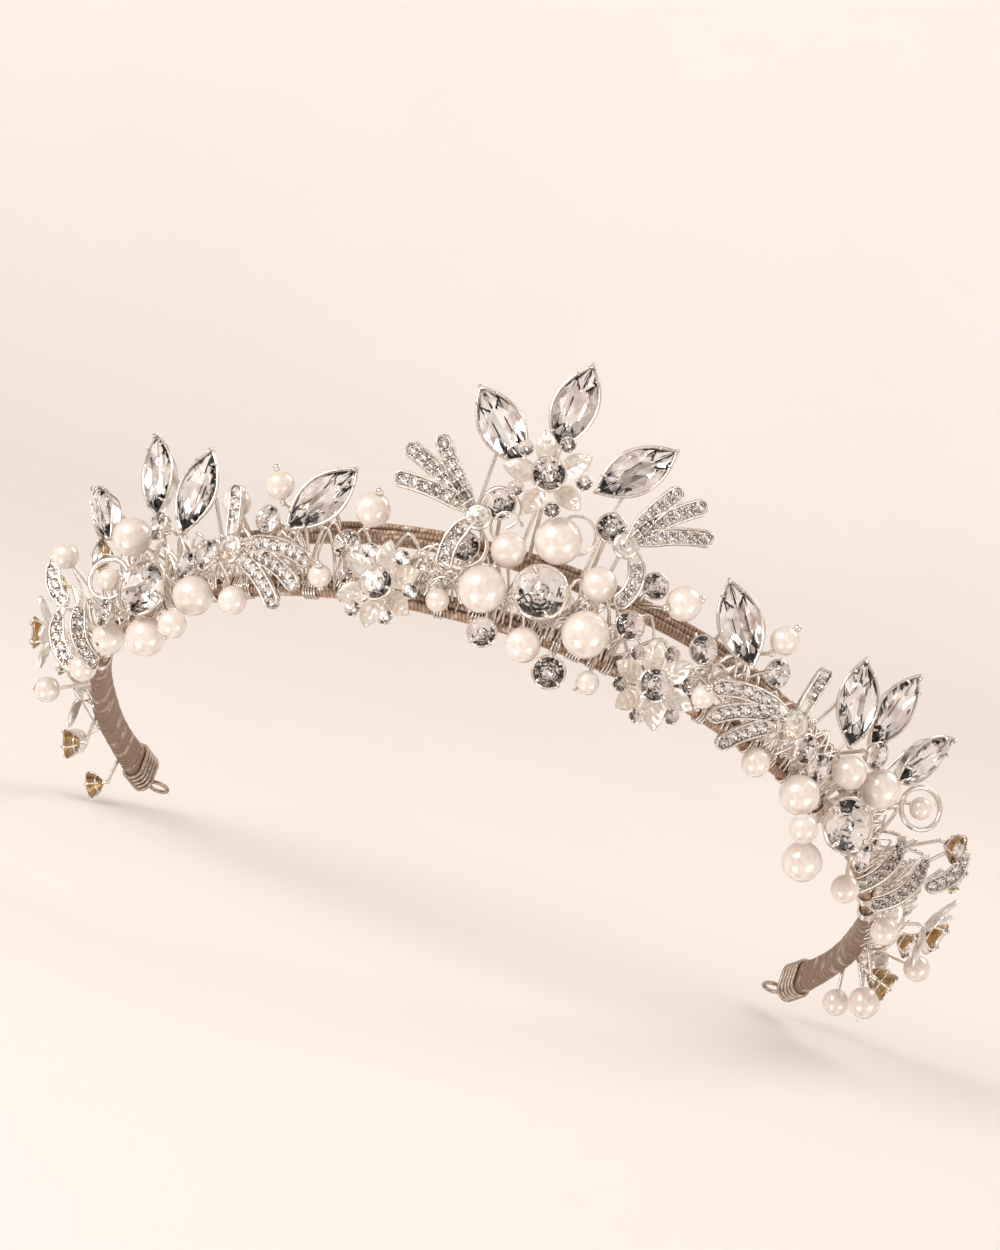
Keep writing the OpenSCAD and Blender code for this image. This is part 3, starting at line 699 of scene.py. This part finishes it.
def wound(mesh, frames, outline, depth, pitch, seed):
    """Thread wound round a section that is swept through frames, with turns of uneven height.

    outline holds points (out, up) with their normals, and depth is the height of the tallest turns.
    """
    centres, outs, ups = (np.array(x) for x in zip(*frames))
    sizes = outline[:, :2]
    normals = outline[:, 2:]
    count = len(sizes)
    run = np.concatenate([[0], np.cumsum(np.linalg.norm(np.diff(centres, axis=0), axis=1))])
    phase = run[:, None] / pitch + np.arange(count)[None] / count
    part = phase - np.floor(phase)
    crest = np.sqrt(np.clip(1 - (2 * part - 1) ** 2, 0, 1))
    swell = 0.35 * np.sin(run / 4.1 + seed)[:, None] * depth
    # A scattered but repeatable number from 0 to 1 for each turn
    turn = np.sin(np.floor(phase) * 12.9898 + seed) * 43758.5453
    turn = turn - np.floor(turn)
    size = sizes[None] + normals[None] * (depth * crest * (0.65 + 0.35 * turn) + swell)[..., None]
    verts = centres[:, None] + outs[:, None] * size[..., 0:1] + ups[:, None] * size[..., 1:2]
    mesh.add((verts.reshape(-1, 3), capped_faces(len(centres), count)))
    # The height across each turn goes into the wind attribute, from which the thread material paints shade
    # into the gaps and light onto the tops
    wind = np.stack([crest, turn, np.zeros_like(crest), np.ones_like(crest)], -1)
    mesh.wind.append(wind.reshape(-1, 4))


def round_outline(radius, sides):
    """Evenly spaced points of a circle, with outward normals."""
    a = np.arange(sides) * 2 * math.pi / sides
    c, s = np.cos(a), np.sin(a)
    return np.stack([radius * c, radius * s, c, s], 1)


def stadium_outline(height, thickness, sides):
    """Evenly spaced points of a rounded bar section, with outward normals."""
    r = thickness / 2
    straight = height - thickness
    half = straight + math.pi * r
    rows = []
    for k in range(sides // 2):
        d = 2 * half * k / sides
        rise = min(d, straight) - straight / 2
        a = max(d - straight, 0) / r
        rows.append((r * math.cos(a), rise + r * math.sin(a), math.cos(a), math.sin(a)))
    rows = np.array(rows)
    return np.vstack([rows, -rows])


def make_rail(rail):
    """Six thread-wound strands side by side, drawn together where the two rails are bound."""
    mesh = Mesh()
    end = RAIL_END + 2.5
    steps = 2050
    join_gap = JOIN_GAP if rail == "upper" else -JOIN_GAP
    for number in range(6):
        column, row = (-1) ** number, number // 2 - 1
        frames = []
        for k in range(steps + 1):
            angle = -end + 2 * end * k / steps
            centre, out, up = rail_frame(rail, angle)
            join, _, _ = rail_frame("end", angle)
            t = smooth_step((abs(angle) - JOIN_START) / JOIN_RUN)
            wave = 0.1 * math.sin(angle / 4 + number * 1.7)
            side = column * (STRAND_SIDE + 0.05 * math.sin(angle / 7 + number))
            rise = row * STRAND_RISE * (1 - 0.32 * t) + wave * (1 - t)
            target = join + up * join_gap
            frames.append((centre * (1 - t) + target * t + out * side + up * rise, out, up))
        wound(mesh, frames, round_outline(STRAND_R, 8), THREAD_DEPTH, THREAD_PITCH, number * 2.3)
    inside = (rail + "_rail_wrap", rail + "_core_wires")
    mesh.build(rail + "_rail_strands", [thread], "thread_wrap", inside, crisp=0, fix=False)


make_rail("upper")
make_rail("lower")


def winding(rail, outline, first, last, turns):
    """A line that winds round a rail along an outline, from one angle to another."""
    count = len(outline)
    points = []
    for k in range(turns * count + 1):
        centre, out, up = rail_frame(rail, first + (last - first) * k / (turns * count))
        across, rise = outline[k % count][:2]
        points.append(centre + out * across + up * rise)
    return points


def make_band_end(side, name):
    """The bound end of the band on one side, the coil of wire round it and the eyelet beyond it."""
    mesh = Mesh()
    frames = []
    steps = 620
    for k in range(steps + 1):
        angle = RAIL_END + 0.8 + (BAND_END - 0.1 - RAIL_END - 0.8) * k / steps
        frames.append(rail_frame("end", side * angle))
    wound(mesh, frames, stadium_outline(BINDING_H, BINDING_T, 36), BINDING_DEPTH, BINDING_PITCH, 3.0)
    mesh.build(name + "_end_binding", [binding], "thread_wrap", (name + "_end_wrap",), crisp=0, fix=side > 0)

    coil = Mesh()
    outline = stadium_outline(BAND_H + 0.9, BAND_T + 0.9, 36)
    line = winding("end", outline, side * (COIL_START + 0.3), side * (BAND_END - 0.3), COIL_TURNS)
    coil.add(tube(line, COIL_WIRE, 12))
    coil.build(name + "_end_winding", [end_wire], "silver", (name + "_end_coil",))

    loop = Mesh()
    centre, out, up = rail_frame("end", side * EYELET_ANGLE)
    loop.add(torus(EYELET_R + EYELET_WIRE / 2, EYELET_WIRE / 2, 40, 12), Matrix.Translation(centre))
    start, _, _ = rail_frame("end", side * (BAND_END + 0.1))
    run = centre - start
    run = run * (1 - (EYELET_R + 0.3) / np.linalg.norm(run))
    # Two wires twisted round each other, from the band to the eyelet
    for half in (0, math.pi):
        path = []
        for k in range(25):
            turn = half + k / 24 * 4 * math.pi
            path.append(start + run * k / 24 + out * 0.24 * math.cos(turn) + up * 0.24 * math.sin(turn))
        loop.add(tube(path, 0.26, 8))
    loop.build(name + "_end_eyelet", [end_wire], "silver", (name + "_end_loop",))


make_band_end(1, "right")
make_band_end(-1, "left")


# ---------------------------------------------------------------- flowers
def leaf(length, width):
    """A stamped leaf from its root at the origin to its tip on +X, with veins and a raised edge.

    u runs from the root to the tip and v from one edge to the other, with the midrib at 0.
    """
    rows, columns = 44, 17
    top = []
    for i in range(rows):
        u = i / (rows - 1)
        half = max((4 * u * (1 - u)) ** 0.82 * width / 2, 0.04)
        for j in range(columns):
            v = 2 * j / (columns - 1) - 1
            z = 0.5 * v * v * half / (width / 2) + 0.9 * (u - 0.35) ** 2
            z -= 0.28 * math.exp(-((v / 0.16) ** 2)) * (1 - u * 0.5)
            vein = math.sin(math.pi * (4.5 * u - 1.2 * abs(v)))
            z -= 0.24 * math.exp(-((vein / 0.42) ** 2)) * (1 - abs(v)) * min(1, 6 * abs(v))
            z += 0.16 * smooth_step((abs(v) - 0.78) / 0.22)
            top.append((u * length, v * half, z))
    top = np.array(top)
    low = top - np.array([0, 0, 0.26])
    count = rows * columns
    faces = grid_faces(rows, columns, wrap_columns=False)
    faces += [tuple(i + count for i in f[::-1]) for f in faces]
    edge = [i * columns for i in range(rows)][::-1] + list(range(1, columns))
    edge += [i * columns + columns - 1 for i in range(1, rows)]
    edge += list(range((rows - 1) * columns + columns - 2, (rows - 1) * columns, -1))
    for a, b in zip(edge, edge[1:] + edge[:1]):
        faces.append((a, b, b + count, a + count))
    return np.vstack([top, low]), faces


def add_flower(mesh, place, petals, phase):
    """A hub with leaves round it, and a bead beside the root of each leaf."""
    base = on_ring(place)
    hub = [(0, 0), (HUB_R, 0), (HUB_R + 0.1, 0.25), (HUB_R - 0.1, 0.55), (1.2, 0.62), (0, 0.6)]
    mesh.add(lathe(hub, 24), base)
    for i in range(petals):
        around = rot("Z", phase + i * 360 / petals)
        root = around @ shift(HUB_R * 0.7, 0, 0) @ rot("Y", -PETAL_TILT)
        length = PETAL_L * rng.uniform(0.97, 1.03)
        mesh.add(leaf(length, PETAL_W), base @ root @ shift(PETAL_REACH - HUB_R * 0.7 - PETAL_L / 2, 0, 0.15))
        bead = around @ rot("Z", 180 / petals) @ shift(HUB_R * 0.95, 0, 0.75)
        mesh.add(ball(0.42), base @ bead)


for node, flowers in FLOWERS.items():
    mesh = Mesh()
    for flower in flowers:
        add_flower(mesh, *flower)
    mesh.build(node + "_leaves", [satin], "silver", (node,), crisp=50)


# ---------------------------------------------------------------- fingers set with small stones
def finger_at(spec, s):
    """Point and heading on the arc of a finger's centre line, at a distance s from its root."""
    direction, length, bend = spec
    radius = length / math.radians(bend)
    start = math.radians(direction - bend / 2)
    heading = start + s / radius
    x = radius * (math.sin(heading) - math.sin(start))
    y = radius * (math.cos(start) - math.cos(heading))
    return (x, y), heading


def beside(point, heading, across):
    """A point moved to the left of a heading."""
    return point[0] - math.sin(heading) * across, point[1] + math.cos(heading) * across


# Section of a finger, from the foot of its side over the rim to its floor: share of the half width, height
TROUGH_SIDE = [
    (0.80, 0.0), (1.0, 0.25), (1.05, 0.75), (1.0, 1.2), (0.92, 1.34), (0.82, 1.34), (0.74, 1.16), (0.7, 0.6),
]
TROUGH = [(-across, z) for across, z in TROUGH_SIDE] + TROUGH_SIDE[::-1]


def add_finger(metal_mesh, stone_mesh, base, spec, bare):
    """A trough with a rounded tip, and from there to its bare root a row of stones with beads between."""
    length = spec[1]
    half = FINGER_W / 2
    rows = []
    for k in range(25):
        s = length * k / 24
        rows.append((s, half * (0.42 + 0.58 * smooth_step(s / (0.4 * length)))))
    for k in range(1, 7):
        a = math.pi / 2 * k / 6
        rows.append((length + 1.25 * math.sin(a), half * max(math.cos(a), 0.12)))
    verts = []
    for s, wide in rows:
        point, heading = finger_at(spec, s)
        verts += [(*beside(point, heading, across * wide), z) for across, z in TROUGH]
    metal_mesh.add((verts, capped_faces(len(rows), len(TROUGH))), base)
    stones = int((length - bare) / PAVE_PITCH)
    for i in range(stones + 1):
        s = length - i * PAVE_PITCH
        point, heading = finger_at(spec, s)
        place = base @ shift(*beside(point, heading, 0.16 * (-1) ** i), 1.16)
        place = place @ rot("Z", math.degrees(heading) + rng.uniform(-8, 8)) @ rot("X", rng.uniform(-5, 5))
        radius = PAVE_D / 2 * rng.uniform(0.96, 1.06)
        add_gem(stone_mesh, place, 2 * radius, 2 * radius, 0.34 * radius, 0.72 * radius)
        point, heading = finger_at(spec, s - PAVE_PITCH / 2)
        for edge in (-0.72, 0.72):
            metal_mesh.add(ball(0.27, 8, 5), base @ shift(*beside(point, heading, edge), 1.12))
        metal_mesh.add(ball(0.2, 8, 5), base @ shift(*point, 1.15))


def make_group(node, place, fingers, knot, bare, mirrored):
    """Fingers that spread from a domed knot."""
    metal_mesh, stone_mesh = Mesh(), Mesh()
    base = on_ring(place)
    if mirrored:
        base = base @ Matrix.Scale(-1, 4, (1, 0, 0))
    for spec in fingers:
        add_finger(metal_mesh, stone_mesh, base, spec, bare)
    dome = [
        (0, 0), (knot, 0), (knot + 0.1, 0.5), (knot, 0.95), (knot * 0.75, 1.2), (knot * 0.6, 1.05),
        (knot * 0.42, 1.3), (knot * 0.2, 1.5), (0, 1.55),
    ]
    metal_mesh.add(lathe(dome, 28), base)
    metal_mesh.build(node + "_settings", [pave_metal], "silver", (node,))
    stone_mesh.build(node + "_pave", [crystal, mirror], "crystal", (node + "_stones",), smooth=False)


for group in FINGER_GROUPS:
    make_group(*group)

for side in ("right", "left"):
    metal_mesh, stone_mesh = Mesh(), Mesh()
    for owner, place, spec, turn in REAR_LOOPS:
        if owner == side:
            add_finger(metal_mesh, stone_mesh, on_ring(place, turn), spec, 2)
    metal_mesh.build(side + "_rear_loop_settings", [pave_metal], "silver", (side + "_rear_loops",))
    stone_mesh.build(side + "_rear_loop_pave", [crystal, mirror], "crystal", smooth=False)


# ---------------------------------------------------------------- wire rings
for node, place, turn in WIRE_RINGS:
    mesh = Mesh()
    base = on_ring(place, turn)
    if node == "centre_wire_ring":
        for k in range(3):
            lean = rot("X", (k - 1) * 4) @ rot("Y", (k - 1) * 3)
            mesh.add(torus(RING_R_SMALL - 0.15 + 0.15 * k, 0.2, 64, 8), base @ lean)
    else:
        mesh.add(torus(RING_R_SMALL, RING_WIRE, 64, 12, 1.25), base)
    mesh.build(node + "_wire", [silver], "silver", (node,))


# ---------------------------------------------------------------- round stones in cups
def stone_node(stones, cups, turn=0):
    """The round stones of one node and their cups, which show gold foil at the back of the ring."""
    gems, settings = Mesh(), Mesh()
    for points in solids(stones):
        place, radius = stone_of(points, turn)
        round_gem(gems, place, radius)
        behind = abs(math.degrees(math.atan2(place.translation.x, -place.translation.y))) > FOIL_FROM
        cup(settings, place, radius, 1 if behind else 0)
    gems.build(stones + "_faceted", [crystal, mirror], "crystal", (stones,), smooth=False)
    settings.build(cups + "_claws", [silver, gold], "silver", (cups,))


stone_node("centre_main_stone", "centre_main_cup")
stone_node("centre_chatons", "centre_chaton_cups")
stone_node("right_chatons", "right_chaton_cups")
stone_node("left_chatons", "left_chaton_cups")
stone_node("right_cluster_stone", "right_cluster_cup", -CLUSTER_TURN)
stone_node("left_cluster_stone", "left_cluster_cup", CLUSTER_TURN)


# ---------------------------------------------------------------- pointed stones
for group in ("crest", "right", "left"):
    gems, settings = Mesh(), Mesh()
    node = group + "_navettes"
    for points in solids(node):
        place, length, width = navette_of(points)
        add_gem(gems, place, length, width, 1.1, 1.6, keel=0.5, table=0.6)
        navette_cup(settings, place, length, width)
    gems.build(node + "_faceted", [crystal, mirror], "crystal", (node,), smooth=False)
    settings.build(group + "_navette_baskets", [silver], "silver", (group + "_navette_settings",))


# ---------------------------------------------------------------- pearls
def drilled(radius, hole):
    """A pearl with a hole along Z and a softly broken edge where the drill went in."""
    rings = 24
    edge = math.asin(hole * 1.5 / radius)
    profile = [(hole, -radius * 0.94)]
    for k in range(rings + 1):
        a = edge + (math.pi - 2 * edge) * k / rings
        profile.append((radius * math.sin(a), -radius * math.cos(a)))
    profile.append((hole, radius * 0.94))
    return lathe(profile, 36)


def towards(direction):
    """A turn that brings Z to a direction."""
    return Vector(direction).to_track_quat("Z", "Y").to_matrix().to_4x4()


def make_pearls(node, name):
    """The fixed pearls of one node. Every second small one is drilled and ends in a loop of its pin."""
    pearls, pins = Mesh(), Mesh()
    for number, points in enumerate(solids(node)):
        centre, radius = ball_of(points)
        out = np.array([centre[0], centre[1], 0])
        root = out / np.linalg.norm(out) * RING_R + np.array([0, 0, 2.0])
        away = centre - root
        if radius < SMALL_PEARL_R and number % 2:
            away = away + np.array([rng.uniform(-6, 6), rng.uniform(-6, 6), rng.uniform(-2, 8)])
            place = Matrix.Translation(centre) @ towards(away)
            pearls.add(drilled(radius, 0.3), place)
            loop = [
                (0, 0, -radius * 0.9), (0, 0, radius + 0.1), (0.25, 0, radius + 0.35),
                (0.1, 0.1, radius + 0.6), (-0.25, 0.1, radius + 0.4), (-0.1, 0, radius + 0.05),
            ]
            pins.add(tube(loop, 0.17, 7), place)
        else:
            pearls.add(ball(radius, 40, 24), Matrix.Translation(centre) @ towards(away))
    pearls.build(name, [pearl], "pearl", (node,), crisp=60)
    if pins.count:
        pins.build(name + "_pins", [silver], "silver")


make_pearls("centre_pearls", "centre_pearl_balls")
for side in ("right", "left"):
    make_pearls(side + "_pearls", side + "_pearl_balls")
    make_pearls(side + "_rear_pearls", side + "_rear_pearl_balls")

for joint in frame["joints"]:
    node = joint["child"]
    centre, radius = ball_of(solids(node)[0])
    axis = TO_RING.to_3x3() @ Vector(joint["axis"])
    mesh = Mesh()
    mesh.add(drilled(radius, 0.45), Matrix.Translation(centre) @ towards(axis))
    mesh.build(node + "_drilled", [pearl], "pearl", (node,), body=node, crisp=60)


# ---------------------------------------------------------------- stems and bindings
def grips(node):
    """Where the wires of a stem node end on the rails: [(rail, angle)]."""
    found = []
    for x, y, z in np.vstack(solids(node)):
        angle = math.degrees(math.atan2(x, -y))
        if abs(angle) > RAIL_END:
            continue
        for rail in ("upper", "lower"):
            centre, out, up = rail_frame(rail, angle)
            gap = np.array([x, y, z]) - centre
            near = gap @ out < GRIP_REACH and abs(gap @ up) < GRIP_REACH
            if near and all(r != rail or abs(a - angle) > GRIP_APART for r, a in found):
                found.append((rail, angle))
    return found


around_rail = stadium_outline(RAIL_H + 0.75, RAIL_T + 0.75, 28)
for node in STEM_NODES:
    mesh = Mesh()
    for rail, angle in grips(node):
        turns = rng.choice((3, 4, 5))
        line = winding(rail, around_rail, angle - 0.2 * turns, angle + 0.2 * turns, turns)
        mesh.add(tube(line, 0.2, 6))
    mesh.build(node.replace("stems", "rail_bindings"), [silver], "silver")


def curve(points, steps):
    """A smooth line through a few points."""
    p = [np.asarray(x, float) for x in points]
    p = [2 * p[0] - p[1]] + p + [2 * p[-1] - p[-2]]
    line = []
    for a, b, c, d in zip(p, p[1:], p[2:], p[3:]):
        for k in range(steps):
            t = k / steps
            square = (2 * a - 5 * b + 4 * c - d) * t * t
            cube = (3 * b - a - 3 * c + d) * t ** 3
            line.append(0.5 * (2 * b + (c - a) * t + square + cube))
    return line + [p[-2]]


def at_ring(angle, height, out):
    """A point given the way places are."""
    return on_ring((angle, height, out)).translation


def wire_nest(name, first, last, count, reach):
    """Loose loops of fine wire among the ornaments, each with both ends on a rail."""
    mesh = Mesh()
    for k in range(count):
        start = first + (last - first) * (k + rng.uniform(0, 0.8)) / count
        run = rng.uniform(2.5, 7) * rng.choice((-1, 1))
        low, high = rng.choice((1.0, -1.0)), rng.uniform(2, 9)
        mesh.add(tube(curve([
            at_ring(start, low, 0.9),
            at_ring(start + 0.15 * run, 0.6 * high, rng.uniform(0.4, 0.8) * reach),
            at_ring(start + 0.5 * run, high, reach),
            at_ring(start + 0.9 * run, 0.5 * high, rng.uniform(0.3, 0.8) * reach),
            at_ring(start + run, low + 2, 0.9),
        ], 8), rng.choice((0.2, 0.26, 0.32)), 6))
    mesh.build(name, [silver], "silver")


for nest in WIRE_NESTS:
    wire_nest(*nest)

mesh = Mesh()
for place, radius, first, sweep in CREST_ARCS:
    turns = [math.radians(first + sweep * k / 28) for k in range(29)]
    arc = [(radius * math.cos(a), radius * math.sin(a), 0) for a in turns]
    mesh.add(tube(arc, 0.27, 8), on_ring(place) @ rot("X", 12))
mesh.build("crest_wires", [silver], "silver")

# The stems of the CAD are plain wires and stay, in silver
for node in STEM_NODES:
    mesh = frame["nodes"][node].data
    mesh.materials.clear()
    mesh.materials.append(silver)


# ---------------------------------------------------------------- stage, lights, camera
def stage_material():
    """Pale paper with painted light: it glows a little, more the farther it is from the middle."""
    item, tree, shader = nodes_of("pale paper with painted glow")
    cloud = noise_node(tree, 3, 3.0)
    colour = ramp_node(tree, cloud.outputs["Fac"], [(0.3, (0.88, 0.84, 0.815)), (0.7, (0.90, 0.87, 0.845))])
    tree.links.new(colour.outputs["Color"], shader.inputs["Base Color"])
    set_inputs(shader, {"Roughness": 0.9, "Specular IOR Level": 0.1})
    where = tree.nodes.new("ShaderNodeTexCoord")
    length = tree.nodes.new("ShaderNodeVectorMath")
    length.operation = "LENGTH"
    tree.links.new(where.outputs["Object"], length.inputs[0])
    far = range_node(tree, length.outputs["Value"], 0.0, 0.25)
    set_inputs(far, {"From Min": 0.4, "From Max": 2.0})
    # Painted light: the paper glows in its own colour, more strongly towards the far floor and wall
    tree.links.new(colour.outputs["Color"], shader.inputs["Emission Color"])
    tree.links.new(far.outputs["Result"], shader.inputs["Emission Strength"])
    return item


def make_stage():
    """A round pale floor that curves up into a low wall, well outside every camera. Sizes are metres."""
    floor_z = cad_box[0][2] - 0.0006
    profile = [(0, 0), (0.6, 0), (1.2, 0.0), (1.5, 0.04), (1.75, 0.16), (1.95, 0.4), (2.05, 0.8), (2.1, 1.6)]
    segments = 96
    verts, faces = [(0, 0, floor_z)], []
    for r, z in profile[1:]:
        for k in range(segments):
            a = 2 * math.pi * k / segments
            verts.append((r * math.cos(a), r * math.sin(a), floor_z + z))
    for k in range(segments):
        faces.append((0, 1 + k, 1 + (k + 1) % segments))
    faces += [tuple(i + 1 for i in f[::-1]) for f in grid_faces(len(profile) - 1, segments)]
    mesh = bpy.data.meshes.new("stage")
    mesh.from_pydata(verts, [], faces)
    mesh.polygons.foreach_set("use_smooth", [True] * len(mesh.polygons))
    mesh.materials.append(stage_material())
    stage = bpy.data.objects.new("stage", mesh)
    stage.visible_shadow = False
    stage.visible_glossy = False
    bpy.context.scene.collection.objects.link(stage)


def make_world():
    """A bright room with soft darker patches, which the stones and the silver need to sparkle."""
    world = bpy.data.worlds.new("studio")
    bpy.context.scene.world = world
    world.use_nodes = True
    tree = world.node_tree
    where = tree.nodes.new("ShaderNodeTexCoord")
    patches = tree.nodes.new("ShaderNodeTexNoise")
    set_inputs(patches, {"Scale": 2.6, "Detail": 1.5})
    tree.links.new(where.outputs["Generated"], patches.inputs["Vector"])
    ramp = ramp_node(tree, patches.outputs["Fac"], [
        (0.36, (0.09, 0.068, 0.058)), (0.43, (0.42, 0.32, 0.26)),
        (0.485, (1.05, 0.93, 0.85)), (0.66, (1.34, 1.25, 1.18)),
    ])
    tree.links.new(ramp.outputs["Color"], tree.nodes["Background"].inputs["Color"])
    tree.nodes["Background"].inputs["Strength"].default_value = 0.72


def area_light(camera, name, spot, size, energy, colour):
    """A square light placed by where it shows on a mirror ball seen by the camera, with a radius of 1."""
    across, rise = spot
    r = math.hypot(across, rise)
    off = 2 * math.asin(r)
    turn = camera.matrix_world.to_3x3()
    way = turn @ Vector((across / r * math.sin(off), rise / r * math.sin(off), math.cos(off)))
    data = bpy.data.lights.new(name, "AREA")
    data.size = size
    data.energy = energy
    data.color = colour
    light = bpy.data.objects.new(name, data)
    light.location = way * LIGHT_REACH
    light.rotation_euler = way.to_track_quat("Z", "Y").to_euler()
    light.visible_camera = False
    bpy.context.scene.collection.objects.link(light)


def make_camera():
    """A camera in front of the ring and below its plane, rolled so that the right end hangs low."""
    below, yaw, roll = (math.radians(a) for a in (CAMERA_BELOW, CAMERA_YAW, CAMERA_ROLL))
    aim_x, aim_y = math.radians(CAMERA_AIM_X), math.radians(CAMERA_AIM_Y)
    eye = Vector((
        math.sin(-yaw) * math.cos(below), -math.cos(yaw) * math.cos(below), -math.sin(below)
    )) * CAMERA_REACH
    ahead = -eye.normalized()
    right = ahead.cross(Vector((0, 0, 1))).normalized()
    up = right.cross(ahead)
    level = ahead * math.cos(aim_x) * math.cos(aim_y) + right * math.sin(aim_x) * math.cos(aim_y)
    view = level + up * math.sin(aim_y)
    right = view.cross(up).normalized()
    up = right.cross(view)
    x_axis = right * math.cos(roll) + up * math.sin(roll)
    y_axis = up * math.cos(roll) - right * math.sin(roll)
    data = bpy.data.cameras.new("camera")
    data.sensor_fit = "VERTICAL"
    data.sensor_height = CAMERA_SENSOR
    data.lens = CAMERA_LENS
    data.clip_start, data.clip_end = 0.01, 20
    camera = bpy.data.objects.new("camera", data)
    turn = rot("X", -TILT)
    basis = Matrix((x_axis, y_axis, -view)).transposed().to_4x4()
    camera.matrix_world = Matrix.Translation(turn @ (eye * 0.001)) @ turn @ basis
    bpy.context.scene.collection.objects.link(camera)
    bpy.context.scene.camera = camera
    return camera


make_stage()
make_world()
camera = make_camera()
for light in LIGHTS:
    area_light(camera, *light)
bpy.context.scene.view_settings.view_transform = "Standard"
